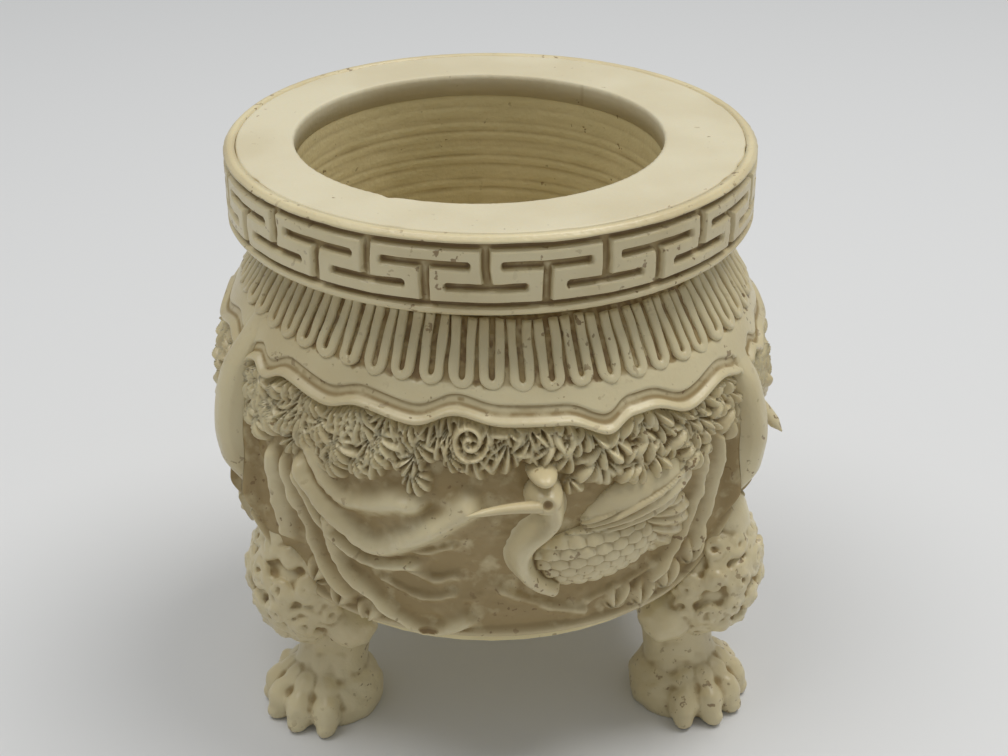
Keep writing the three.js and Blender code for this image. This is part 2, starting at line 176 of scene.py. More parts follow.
def ivoryMaterial(name, look):
    material = bpy.data.materials.new(name)
    material.use_nodes = True
    nodes, links = material.node_tree.nodes, material.node_tree.links
    shader = nodes["Principled BSDF"]
    coordinates = nodes.new("ShaderNodeTexCoord")
    # the vertex value carries the brown wash of the hollows and, on the neck ring and panel grounds, painted
    # shade
    washAndShade = nodes.new("ShaderNodeAttribute")
    washAndShade.attribute_name = "washAndShade"

    def noise(scale, detail=3.0):
        node = nodes.new("ShaderNodeTexNoise")
        node.inputs["Scale"].default_value = scale
        node.inputs["Detail"].default_value = detail
        links.new(coordinates.outputs["Object"], node.inputs["Vector"])
        return node.outputs["Fac"]

    def mapped(value, low, high, top=1.0):
        node = nodes.new("ShaderNodeMapRange")
        node.inputs["From Min"].default_value = low
        node.inputs["From Max"].default_value = high
        node.inputs["To Max"].default_value = top
        node.interpolation_type = "SMOOTHSTEP"
        links.new(value, node.inputs["Value"])
        return node.outputs["Result"]

    def clamped(kind, a, b):
        node = nodes.new("ShaderNodeMath")
        node.operation = kind
        node.use_clamp = True
        for socket, value in zip(node.inputs, (a, b)):
            if isinstance(value, float):
                socket.default_value = value
            else:
                links.new(value, socket)
        return node.outputs[0]

    def blend(factor, a, b):
        node = nodes.new("ShaderNodeMix")
        node.data_type = "RGBA"
        links.new(factor, node.inputs[0])
        for socket, value in ((node.inputs[6], a), (node.inputs[7], b)):
            if isinstance(value, tuple):
                socket.default_value = (*value, 1)
            else:
                links.new(value, socket)
        return node.outputs[2]

    blotch = mapped(noise(look["blotchScale"]), 0.35, 0.7)
    body = blend(blotch, look["cream"], look["shade"])
    depth = mapped(washAndShade.outputs["Fac"], look["washFrom"], look["washTo"])
    uneven = mapped(noise(look["patchScale"], 4.0), 0.25, 0.65)
    washedAndShaded = blend(clamped("MULTIPLY", depth, clamped("ADD", uneven, look["evenWash"])), body, look["ochre"])
    deepest = mapped(washAndShade.outputs["Fac"], look["washTo"], 1.05, look["deepest"])
    washedAndShaded = blend(deepest, washedAndShaded, look["umber"])
    pits = mapped(noise(look["pitScale"], 2.0), look["pitFrom"], look["pitFrom"] + 0.05)
    pitted = clamped("MULTIPLY", pits, mapped(noise(look["pitFieldScale"]), 0.42, 0.62))
    washedAndShaded = blend(clamped("MULTIPLY", pitted, look["pitTint"]), washedAndShaded, look["umber"])
    links.new(washedAndShaded, shader.inputs["Base Color"])
    rough = nodes.new("ShaderNodeMapRange")
    rough.inputs["To Min"].default_value = look["roughness"]
    rough.inputs["To Max"].default_value = look["roughness"] + look["washRoughness"]
    links.new(depth, rough.inputs["Value"])
    links.new(rough.outputs["Result"], shader.inputs["Roughness"])
    shader.inputs["Subsurface Weight"].default_value = look["translucence"]
    shader.inputs["Subsurface Radius"].default_value = (1.0, 0.75, 0.45)
    shader.inputs["Subsurface Scale"].default_value = look["glowDepth"]
    shader.inputs["IOR"].default_value = 1.5
    grain = clamped("SUBTRACT", noise(look["grainScale"], 5.0), clamped("MULTIPLY", pitted, look["pitDepth"]))
    bump = nodes.new("ShaderNodeBump")
    bump.inputs["Strength"].default_value = look["grain"]
    bump.inputs["Distance"].default_value = look["grainDepth"]
    links.new(grain, bump.inputs["Height"])
    links.new(bump.outputs["Normal"], shader.inputs["Normal"])
    return material


carvedLook = {
    "cream": (0.69, 0.60, 0.375),
    "shade": (0.59, 0.495, 0.29),
    "ochre": (0.34, 0.245, 0.105),
    "umber": (0.20, 0.12, 0.045),
    "washFrom": 0.5,
    "washTo": 0.8,
    "evenWash": 0.45,
    "deepest": 0.85,
    "patchScale": 330.0,
    "blotchScale": 60.0,
    "pitScale": 900.0,
    "pitFieldScale": 90.0,
    "pitFrom": 0.63,
    "pitTint": 0.8,
    "pitDepth": 0.6,
    "grainScale": 1400.0,
    "grain": 0.25,
    "grainDepth": 0.0003,
    "roughness": 0.32,
    "washRoughness": 0.25,
    "translucence": 0.12,
    "glowDepth": 0.0012,
}
sandedLook = {
    **carvedLook,
    "cream": (0.66, 0.60, 0.43),
    "shade": (0.60, 0.53, 0.36),
    "pitFrom": 0.7,
    "roughness": 0.5,
    "grain": 0.18,
}
# turned ivory for the bowl, neck ring, base and pegs; its cream is set lighter than the carved one, painted
# light that brightens the shaded inside of the bowl
turnedLookWithPaintedLight = {
    **carvedLook,
    "cream": (0.74, 0.64, 0.37),
    "shade": (0.64, 0.55, 0.30),
    "pitFrom": 0.69,
    "roughness": 0.42,
    "grain": 0.3,
}
carvedIvory = ivoryMaterial("carvedIvory", carvedLook)
sandedIvory = ivoryMaterial("sandedIvory", sandedLook)
turnedIvoryWithPaintedLight = ivoryMaterial("turnedIvoryWithPaintedLight", turnedLookWithPaintedLight)

# Rim plate and bowl

rim = {
    "columns": 480,
    "flatRows": 26,
    "edge": 0.35,
    "chipAt": -29,
    "chipReach": 2.2,
    "chipDepth": 0.5,
    "stainAt": 142,
    "stainReach": 16,
}


def makeRim():
    azimuths = np.linspace(-180, 180, rim["columns"], endpoint=False)
    a = np.radians(azimuths)[:, None]
    shift, bore = vessel["boreShift"], vessel["boreRadius"]
    mouth = shift * np.sin(a) + np.sqrt(bore**2 - (shift * np.cos(a)) ** 2)
    chip = rim["chipDepth"] * np.exp(-(((azimuths[:, None] - rim["chipAt"]) / rim["chipReach"]) ** 2))
    chip += 0.18 * np.abs(softNoise(azimuths[:, None] / 1.7, 0 * a, 5))
    wall = mouth - 0.03
    mouth = mouth + chip
    share = np.linspace(0, 1, rim["flatRows"])[None, :]
    outer = vessel["rimRadius"] - 0.02 - 0.2 * ease(softNoise(azimuths[:, None] / 5, 0 * a, 8), 0.2, 0.45)
    flat = mouth + rim["edge"] + (outer - rim["edge"] - mouth - rim["edge"]) * share
    swell = 0.05 * softNoise(flat / 4 + 9, azimuths[:, None] / 9, 3) - 0.03
    top = vessel["top"] - 0.02 + swell
    whole = np.ones_like(a)
    foot = vessel["rimFoot"] * whole
    radii = [wall, wall, mouth, flat, outer - 0.08, outer, outer]
    heights = [foot, (vessel["top"] - 0.75) * whole, (vessel["top"] - 0.14) * whole, top,
               (vessel["top"] - 0.12) * whole, (vessel["top"] - 0.4) * whole, foot]
    sections = np.stack([np.concatenate(radii, 1), np.concatenate(heights, 1)], -1)
    piece = makeShell("rimPlate", azimuths, sections, ring=True)
    stain = 0.75 * np.exp(-(((azimuths[:, None] - rim["stainAt"]) / rim["stainReach"]) ** 2))
    stain = stain * (azimuths[:, None] > 0)
    stain = stain * np.exp(-(((sections[..., 0] - mouth) / 0.7) ** 2))
    stain = stain * (0.6 + softNoise(azimuths[:, None] / 2, 0 * a, 4))
    joint = 0.8 * np.exp(-(((sections[..., 0] - outer) / 0.22) ** 2))
    joint = joint * ease(softNoise(azimuths[:, None] / 14, 0 * a, 6), -0.2, 0.3)
    addWashAndShade(piece, extra=np.clip(np.maximum(stain, joint), 0, 1).reshape(-1))
    finishPiece(piece, sandedIvory, ["rim_plate"])


bowl = {"columns": 300, "floor": 33.0, "corner": 7.0, "outer": 26.4, "toolMark": 0.05}


def makeBowl():
    azimuths = np.linspace(-180, 180, bowl["columns"], endpoint=False)
    heights = np.linspace(vessel["top"] - 0.7, bowl["floor"] + bowl["corner"], 90)
    belowRim = ease(heights, vessel["rimFoot"], vessel["rimFoot"] - 3)
    marks = np.sin(heights * 4.1) * np.sin(heights * 0.7) * belowRim
    wall = vessel["boreRadius"] + 0.03 + bowl["toolMark"] * marks
    turn = np.radians(np.linspace(0, 90, 12))
    cornerRadii = vessel["boreRadius"] - bowl["corner"] + bowl["corner"] * np.cos(turn)
    cornerHeights = bowl["floor"] + bowl["corner"] - bowl["corner"] * np.sin(turn)
    floorRadii = np.linspace(vessel["boreRadius"] - bowl["corner"], 0.02, 10)
    foot = vessel["footHeight"] + 0.3
    radii = np.concatenate([wall, cornerRadii, floorRadii, [0.02, bowl["outer"], bowl["outer"]]])
    levels = np.concatenate(
        [heights, cornerHeights, np.full(10, bowl["floor"]), [foot, foot, vessel["top"] - 0.7]]
    )
    section = np.stack([radii, levels], -1)
    sections = np.repeat(section[None], bowl["columns"], 0)
    a = azimuths[:, None] * np.ones((1, 90))
    smooth = ease(sections[:, :90, 1], vessel["rimFoot"], vessel["rimFoot"] - 3)
    sections[:, :90, 0] -= 0.05 * smooth * softNoise(a / 11, sections[:, :90, 1] * 1.4, 14)
    piece = makeShell("bowl", azimuths, sections, ring=True, centre=vessel["boreShift"])
    addWashAndShade(piece)
    finishPiece(piece, turnedIvoryWithPaintedLight, ["bowl"])


# Collar with the key fret

fret = {
    "columns": 1380,
    "rows": 60,
    "periods": 15,
    "start": -1.0,
    "depth": 1.0,
    "line": 0.62,
    "hangingBar": 5.1,
    "standingBar": 5.6,
}


def barMask(x, y, width, low, high):
    # 1 inside a bar of half width `width` between two heights, with soft round edges
    middle, half = (low + high) / 2, (high - low) / 2
    radius = min(0.45, half)
    dx = np.maximum(np.abs(x) - width + radius, 0)
    dy = np.maximum(np.abs(y - middle) - half + radius, 0)
    return 1 - ease(np.hypot(dx, dy), radius - 0.22, radius + 0.12)


def makeCollar():
    azimuths = np.linspace(-180, 180, fret["columns"], endpoint=False)
    tall = vessel["top"] - vessel["collarFoot"]
    down = np.linspace(0, 1, fret["rows"])[None, :]
    z = vessel["top"] - down * tall + 0 * azimuths[:, None]
    span = 360 / fret["periods"]
    width = math.radians(span) * vessel["collarRadius"]
    wobble = 0.35 * softNoise(azimuths[:, None] / 9, down * 5, 21)
    phase = (azimuths[:, None] - fret["start"] + span / 2) / span
    hanging = ((phase % 1) - 0.5) * width + wobble
    standing = (((phase + 0.5) % 1) - 0.5) * width + wobble
    y = down * tall + 0.12 * softNoise(azimuths[:, None] / 6, down * 3, 22)
    groove = np.maximum(barMask(0 * hanging, y, 9, 0.85, 1.8), barMask(0 * hanging, y, 9, 8.4, 9.25))
    groove = np.maximum(groove, barMask(hanging, y, fret["line"], 1.2, 6.9))
    groove = np.maximum(groove, barMask(hanging, y, fret["hangingBar"], 6.0, 7.05))
    groove = np.maximum(groove, barMask(standing, y, fret["line"], 3.4, 9.0))
    groove = np.maximum(groove, barMask(standing, y, fret["standingBar"], 3.15, 4.3))
    r = vessel["collarRadius"] - 0.02 - fret["depth"] * groove
    r = r + 0.08 * softNoise(azimuths[:, None] / 2, y, 23)
    r = r - 0.7 * (1 - ease(down * tall, -0.2, 0.7)) - 0.5 * ease(down * tall, tall - 0.6, tall + 0.3)
    r = np.minimum(r, vessel["collarRadius"])
    whole = np.ones((len(azimuths), 1))
    ledge = vessel["rimFoot"] - 0.3
    inside = vessel["rimRadius"] + 0.04
    wall = vessel["wallRadius"] * whole
    radii = np.concatenate([r, wall, wall, inside * whole, inside * whole], 1)
    heights = np.concatenate(
        [z, vessel["collarFoot"] * whole, ledge * whole, ledge * whole, vessel["top"] * whole - 0.04], 1
    )
    piece = makeShell("fretCollar", azimuths, np.stack([radii, heights], -1), ring=True)
    extra = np.zeros(radii.shape)
    extra[:, : fret["rows"]] = 0.78 * groove * (0.9 + 0.5 * softNoise(azimuths[:, None] / 3, y, 24))
    addWashAndShade(piece, extra=np.clip(extra, 0, 1).reshape(-1))
    finishPiece(piece, carvedIvory, ["fret_collar"])


# neck ring in the gap under the collar; its flat dark value is painted shade
neck = {"columns": 240, "edge": 29.8, "waist": 29.6, "gap": 0.1, "washAndShade": 0.85}


def makeNeck():
    azimuths = np.linspace(-180, 180, neck["columns"], endpoint=False)
    low, high = vessel["shoulderTop"] + neck["gap"], vessel["collarFoot"] - neck["gap"]
    outline = [
        (vessel["wallRadius"], low),
        (neck["edge"], low),
        (neck["waist"], (low + high) / 2),
        (neck["edge"], high),
        (vessel["wallRadius"], high),
    ]
    piece = makeShell("neckRing", azimuths, np.repeat(np.array(outline)[None], neck["columns"], 0), ring=True)
    # painted shade: the whole ring is darkened evenly as the shadowed gap under the collar
    addWashAndShade(piece, extra=np.full(len(piece.data.vertices), neck["washAndShade"]))
    finishPiece(piece, turnedIvoryWithPaintedLight, ["neck_ring"])


# Mantle: flutes, plain band, raised hem and the strips between the scenes

mantle = {
    "columns": 1300,
    "rows": 58,
    "hemHeight": 58.2,
    "lean": 1.2,
    "lip": 0.5,
    "lipTall": 0.75,
    "channel": 0.4,
    "channelTop": 2.5,
    "fluteFoot": 63.7,
    "fluteCount": 58,
    "frontSpan": 124.0,
    "windowInset": 3.3,
    "stripHalf": 3.2,
    "stripRise": 1.5,
    "stripFoot": 36.0,
}
# the hem's lower edge over one window: share of the window's half span, height above hemHeight
hemOutline = [
    (-1, -1.2), (-0.96, 0.2), (-0.88, -1.6), (-0.79, 0.4), (-0.57, -0.8), (-0.46, 0.6), (-0.25, -0.4),
    (-0.12, 1.7), (0.03, 0.4), (0.25, 0.3), (0.39, -1.9), (0.46, 0.2), (0.56, 0.4), (0.69, -1.6), (0.9, 0.3),
    (1, -0.8),
]
stripAzimuths = {
    "stripLeft": -mantle["frontSpan"] / 2,
    "stripRight": mantle["frontSpan"] / 2,
    "stripRear": 180,
}
half = (
    mantle["frontSpan"] / 2 - mantle["windowInset"],
    (180 - mantle["frontSpan"] / 2) / 2 - mantle["windowInset"],
)
middle = (180 + mantle["frontSpan"] / 2) / 2
windows = {"front": (0.0, half[0]), "right": (middle, half[1]), "left": (-middle, half[1])}


def hemRise(share):
    # a scallop between each cusp and the next, with the cusps a little worn
    at, rise = np.array(hemOutline).T
    found = 0
    for worn in (-0.022, 0, 0.022):
        here = np.clip(share + worn, -1, 1)
        k = np.clip(np.searchsorted(at, here, side="right") - 1, 0, len(at) - 2)
        t = np.clip((here - at[k]) / (at[k + 1] - at[k]), 0, 1)
        found = found + (rise[k] + (rise[k + 1] - rise[k]) * t * t * (3 - 2 * t)) / 3
    return 0.8 * found


def hemAt(azimuth):
    azimuth = np.asarray(azimuth, float)
    found = np.full(azimuth.shape, -1.0)
    for centre, reach in windows.values():
        share = ((azimuth - centre + 180) % 360 - 180) / reach
        found = np.where(np.abs(share) <= 1, hemRise(np.clip(share, -1, 1)), found)
    return mantle["hemHeight"] + found - mantle["lean"] * np.sin(np.radians(azimuth))


def makeMantle():
    azimuths = np.linspace(-180, 180, mantle["columns"], endpoint=False)
    edge = hemAt(azimuths)[:, None]
    share = np.linspace(0, 1, mantle["rows"])[None, :]
    z = vessel["shoulderTop"] + (edge - vessel["shoulderTop"]) * share
    above = z - edge
    gaps = [np.abs((azimuths - at + 180) % 360 - 180) for at in stripAzimuths.values()]
    free = ease(np.min(gaps, 0)[:, None], 1.5, mantle["stripHalf"])
    lip = mantle["lip"] * ease(above, mantle["lipTall"] + 0.3, mantle["lipTall"] - 0.3) * free
    channel = mantle["channel"] * ease(above, mantle["lipTall"], mantle["lipTall"] + 0.4)
    channel = channel * ease(above, mantle["channelTop"], mantle["channelTop"] - 0.4) * free
    lean = mantle["lean"] * np.sin(np.radians(azimuths))[:, None]
    fluted = ease(z, mantle["fluteFoot"] - lean - 1.6, mantle["fluteFoot"] - lean - 0.6)
    rough = 0.35 * fluted * softNoise(azimuths[:, None] / 1.1, z * 2, 31)
    sway = 0.25 * softNoise(azimuths[:, None] / 14, z / 5, 32)
    roundOff = 0.5 * ease(above, 0.5, -0.2)
    r = bodyRadius(z) + lip - channel - 0.3 * fluted + rough + sway * (1 - fluted) * 0.5 - roundOff
    whole = np.ones_like(edge)
    radii = np.concatenate([r, vessel["wallRadius"] * whole, vessel["wallRadius"] * whole], 1)
    heights = np.concatenate([z, edge, vessel["shoulderTop"] * whole], 1)
    piece = makeShell("shoulderMantle", azimuths, np.stack([radii, heights], -1), ring=True)
    extra = np.zeros(radii.shape)
    speckle = softNoise(azimuths[:, None] / 0.8, z * 1.6, 33) + softNoise(azimuths[:, None] / 3, z / 1.5, 34)
    speckle = np.clip(speckle, 0, 1)
    extra[:, : mantle["rows"]] = fluted * 0.82 + speckle * 0.75 * ease(z, 59.5, 62.5) + channel * 1.5
    addWashAndShade(piece, extra=np.clip(extra, 0, 1).reshape(-1))
    finishPiece(piece, carvedIvory, ["shoulder_mantle"])


def makeStrips():
    across = np.linspace(-1, 1, 17)
    for name, azimuth in stripAzimuths.items():
        z = np.linspace(mantle["hemHeight"] + 5, mantle["stripFoot"], 90)[None, :]
        lean = mantle["lean"] * math.sin(math.radians(azimuth))
        crown = mantle["stripRise"] * (1 - 0.8 * np.abs(across[:, None]) ** 3) - 0.15
        fade = ease(z, mantle["stripFoot"], mantle["stripFoot"] + 7)
        fade = fade * ease(z, mantle["hemHeight"] + 5, mantle["hemHeight"] - 3)
        r = bodyRadius(z) - 1.6 + (crown + 1.6) * (0.35 + 0.65 * fade)
        r = r + 0.12 * softNoise(z / 3 + 7, across[:, None] * 2, 41)
        whole = np.ones((len(across), 1))
        inner = vessel["wallRadius"] + 2
        sections = np.stack([
            np.concatenate([r, inner * whole, inner * whole], 1),
            np.concatenate([z - lean + 0 * r, (z[:, -1:] - lean) * whole, (z[:, :1] - lean) * whole], 1),
        ], -1)
        strip = makeShell(name, azimuth + across * mantle["stripHalf"], sections)
        addWashAndShade(strip)
        finishPiece(strip, carvedIvory, [])


# One raised flute, and Geometry Nodes that set it round the shoulder

flute = {"halfWidth": 0.95, "ridge": 0.6, "rise": 0.5, "square": 0.62, "top": 69.7, "ringRadius": 36}


def makeFlute():
    low = mantle["fluteFoot"]
    straight = np.linspace(flute["top"], low, 14)
    turn = np.radians(np.linspace(0, 180, 11))[1:-1]
    side = np.concatenate([np.full(14, 1.0), np.cos(turn), np.full(14, -1.0)]) * flute["halfWidth"]
    z = np.concatenate([straight, low - flute["halfWidth"] * np.sin(turn), straight[::-1]])
    path = []
    for s, h in zip(side, z):
        radius = float(bodyRadius(h)) - 0.25
        path.append(place(math.degrees(s / radius), radius, h))
    points, corners = [], 12
    for k, here in enumerate(path):
        along = (path[min(k + 1, len(path) - 1)] - path[max(k - 1, 0)]).normalized()
        out = Vector((here.x, here.y, 0)).normalized() * 0.75 + Vector((0, 0, 0.66))
        across = along.cross(out).normalized()
        out = across.cross(along).normalized()
        for c in range(corners):
            a = 2 * math.pi * c / corners
            wide = math.copysign(abs(math.cos(a)) ** flute["square"], math.cos(a))
            tall = math.copysign(abs(math.sin(a)) ** flute["square"], math.sin(a))
            points.append(here + across * (flute["ridge"] * wide) + out * (flute["rise"] * tall))
    return makeMesh("flute", points, tubeFaces(len(path), corners))


def ringTree(name):
    tree = bpy.data.node_groups.new(name, "GeometryNodeTree")
    face = tree.interface
    count = face.new_socket("Count", in_out="INPUT", socket_type="NodeSocketInt")
    lean = face.new_socket("Lean", in_out="INPUT", socket_type="NodeSocketFloat")
    shape = face.new_socket("Shape", in_out="INPUT", socket_type="NodeSocketObject")
    finish = face.new_socket("Material", in_out="INPUT", socket_type="NodeSocketMaterial")
    face.new_socket("Geometry", in_out="OUTPUT", socket_type="NodeSocketGeometry")
    nodes, links = tree.nodes, tree.links
    start, end = nodes.new("NodeGroupInput"), nodes.new("NodeGroupOutput")
    line = nodes.new("GeometryNodeMeshLine")
    line.inputs["Offset"].default_value = (0, 0, 0)
    links.new(start.outputs["Count"], line.inputs["Count"])
    info = nodes.new("GeometryNodeObjectInfo")
    links.new(start.outputs["Shape"], info.inputs["Object"])
    index = nodes.new("GeometryNodeInputIndex")
    step = nodes.new("ShaderNodeMath")
    step.operation = "DIVIDE"
    step.inputs[0].default_value = 2 * math.pi
    links.new(start.outputs["Count"], step.inputs[1])
    turn = nodes.new("ShaderNodeMath")
    turn.operation = "MULTIPLY"
    links.new(index.outputs[0], turn.inputs[0])
    links.new(step.outputs[0], turn.inputs[1])
    angles = nodes.new("ShaderNodeCombineXYZ")
    links.new(turn.outputs[0], angles.inputs["Z"])
    copies = nodes.new("GeometryNodeInstanceOnPoints")
    links.new(line.outputs["Mesh"], copies.inputs["Points"])
    links.new(info.outputs["Geometry"], copies.inputs["Instance"])
    links.new(angles.outputs[0], copies.inputs["Rotation"])
    real = nodes.new("GeometryNodeRealizeInstances")
    links.new(copies.outputs[0], real.inputs[0])
    position = nodes.new("GeometryNodeInputPosition")
    split = nodes.new("ShaderNodeSeparateXYZ")
    links.new(position.outputs[0], split.inputs[0])
    drop = nodes.new("ShaderNodeMath")
    drop.operation = "MULTIPLY"
    links.new(split.outputs["X"], drop.inputs[0])
    links.new(start.outputs["Lean"], drop.inputs[1])
    offset = nodes.new("ShaderNodeCombineXYZ")
    links.new(drop.outputs[0], offset.inputs["Z"])
    move = nodes.new("GeometryNodeSetPosition")
    links.new(real.outputs[0], move.inputs["Geometry"])
    links.new(offset.outputs[0], move.inputs["Offset"])
    paint = nodes.new("GeometryNodeSetMaterial")
    links.new(move.outputs[0], paint.inputs["Geometry"])
    links.new(start.outputs["Material"], paint.inputs["Material"])
    links.new(paint.outputs[0], end.inputs["Geometry"])
    return tree, (count, lean, shape, finish)


def makeFluteRing():
    one = makeFlute()
    tree, sockets = ringTree("fluteRing")
    holder = bpy.data.objects.new("fluteHolder", bpy.data.meshes.new("fluteHolder"))
    bpy.context.scene.collection.objects.link(holder)
    modifier = holder.modifiers.new("ring", "NODES")
    modifier.node_group = tree
    values = (mantle["fluteCount"], -mantle["lean"] * mm / (flute["ringRadius"] * mm), one, carvedIvory)
    for socket, value in zip(sockets, values):
        modifier[socket.identifier] = value
    bpy.context.view_layer.update()
    depsgraph = bpy.context.evaluated_depsgraph_get()
    mesh = bpy.data.meshes.new_from_object(holder.evaluated_get(depsgraph))
    bpy.data.objects.remove(holder)
    bpy.data.objects.remove(one)
    mesh.polygons.foreach_set("use_smooth", [True] * len(mesh.polygons))
    points = np.empty(len(mesh.vertices) * 3)
    mesh.vertices.foreach_get("co", points)
    points = points.reshape(-1, 3) / mm
    azimuth = np.degrees(np.arctan2(points[:, 0], -points[:, 1]))
    # the lean moves a flute up or down the shoulder, so its radius follows
    leant = points[:, 2] + mantle["lean"] * points[:, 0] / flute["ringRadius"]
    points[:, :2] *= (bodyRadius(points[:, 2]) / bodyRadius(leant))[:, None]
    uneven = 0.22 * softNoise(azimuth / 2.1, points[:, 2] / 1.3, 51)
    points[:, :2] *= (1 + uneven / flute["ringRadius"])[:, None]
    points[:, 2] += 0.6 * softNoise(azimuth / 5, points[:, 2] * 0, 52)
    points[:, 0] += 0.25 * softNoise(azimuth / 3, points[:, 2] / 2.5, 53)
    mesh.vertices.foreach_set("co", (points * mm).reshape(-1))
    piece = bpy.data.objects.new("flutes", mesh)
    bpy.context.scene.collection.objects.link(piece)
    addWashAndShade(piece, rounds=2, depth=0.6)
    finishPiece(piece, carvedIvory, [])


# Scenes: a height over (arc length s, height z) in millimetres, added to the recessed ground

scene = {
    "columns": 400,
    "rows": 205,
    "recess": 3.0,
    "arc": 0.663,
    "unit": 35.5,
    "rise": 9.5,
    "power": 9,
    "wall": 1.6,
    "proud": 40.9,
    "frontSeed": 100,
    "seedStep": 10,
}
foliage = {
    "frontRows": 4,
    "sideRows": 6,
    "firstDrop": 1.2,
    "rowDrop": 2.1,
    "pitch": 2.2,
    "needlesEnd": 8,
    "needles": {"radius": (1.9, 2.9), "ribs": 15},
    "lobes": {"radius": (1.5, 2.3), "ribs": 8},
    "tall": (2.1, 3.3),
    "aim": (-2.6, -0.5),
}


def smoothPath(points, steps=5):
    ends = [points[0], *points, points[-1]]
    path = []
    for a, b, c, d in zip(ends, ends[1:], ends[2:], ends[3:]):
        for t in np.arange(steps) / steps:
            weights = (-t + 2 * t**2 - t**3, 2 - 5 * t**2 + 3 * t**3, t + 4 * t**2 - 3 * t**3, t**3 - t**2)
            path.append(tuple(0.5 * sum(w * p[k] for w, p in zip(weights, (a, b, c, d))) for k in (0, 1)))
    return path + [points[-1]]


def strokeHeight(s, z, points, width, tall, sharp=2.0):
    best = np.full(s.shape, 1e9)
    path = smoothPath([(a * scene["arc"], vessel["top"] + scene["unit"] * h) for a, h in points])
    for (x0, y0), (x1, y1) in zip(path, path[1:]):
        dx, dy = x1 - x0, y1 - y0
        t = np.clip(((s - x0) * dx + (z - y0) * dy) / (dx * dx + dy * dy), 0, 1)
        best = np.minimum(best, np.hypot(s - x0 - t * dx, z - y0 - t * dy))
    return tall * np.exp(-((best / width) ** sharp))


def fanHeight(s, z, centre, radius, aim, ribs, tall):
    dx, dy = s - centre[0], z - centre[1]
    rho = np.hypot(dx, dy) / radius
    stem = 0.85 * radius
    angle = np.arctan2(dy + stem * math.sin(aim), dx + stem * math.cos(aim))
    dome = np.sqrt(np.clip(1 - rho**2, 0, 1))
    return tall * dome * (0.64 + 0.36 * np.cos(angle * ribs)) * (rho < 1)


def spiralHeight(s, z, centre, radius, tall, turns=2.0):
    dx, dy = s - centre[0], z - centre[1]
    rho = np.hypot(dx, dy) / radius
    angle = np.arctan2(dy, dx) / (2 * math.pi)
    wave = 0.5 + 0.5 * np.cos(2 * math.pi * (rho * turns - angle))
    return tall * (0.45 + 0.55 * wave) * ease(rho, 1.05, 0.85)


# ridges and folds: points of (azimuth, height below the rim in units), then half width and height
strokes = [
    ([(-39.7, -0.972), (-32.2, -1.145), (-24.4, -1.239), (-13.9, -1.139), (-4.6, -1.0)], 1.7, 2.5),
    ([(-37.3, -0.882), (-30.2, -1.04), (-15, -0.996)], 1.6, 1.9),
    ([(-42, -1.02), (-37, -1.2), (-28, -1.33), (-17, -1.30)], 1.0, 1.7),
    ([(-35.2, -1.168), (-34.9, -1.364), (-25.4, -1.497), (-14, -1.61), (-5.6, -1.533)], 1.0, 1.8),
    ([(-21.9, -1.293), (-14, -1.36), (-7.6, -1.34)], 0.7, 0.7),
    ([(-24, -1.40), (-15, -1.45), (-8, -1.42)], 0.6, 0.7),
    ([(-23, -1.22), (-15, -1.235), (-8, -1.19)], 0.6, 0.8),
    ([(-49, -0.988), (-50, -1.16), (-49, -1.338)], 1.3, 2.2),
    ([(-45.5, -0.98), (-44, -1.15), (-40, -1.4), (-33, -1.52)], 0.9, 1.6),
    ([(46, -0.95), (47, -1.15), (44, -1.35), (37, -1.48)], 0.9, 1.6),
    ([(52, -0.95), (52.5, -1.2), (49, -1.42)], 1.0, 1.8),
    ([(21, -1.488), (34, -1.44), (44, -1.405)], 0.7, 0.7),
    ([(2, -1.40), (10, -1.47), (20, -1.53)], 0.7, 0.7),
]
curlFolds = [(1.4, 0.6), (4.4, -0.9), (7.2, -2.2), (9.6, -1.0)]
reeds = [(-41, -1.47), (-35, -1.55), (-28, -1.585), (28, -1.5), (35, -1.53), (42, -1.5), (49, -1.44)]


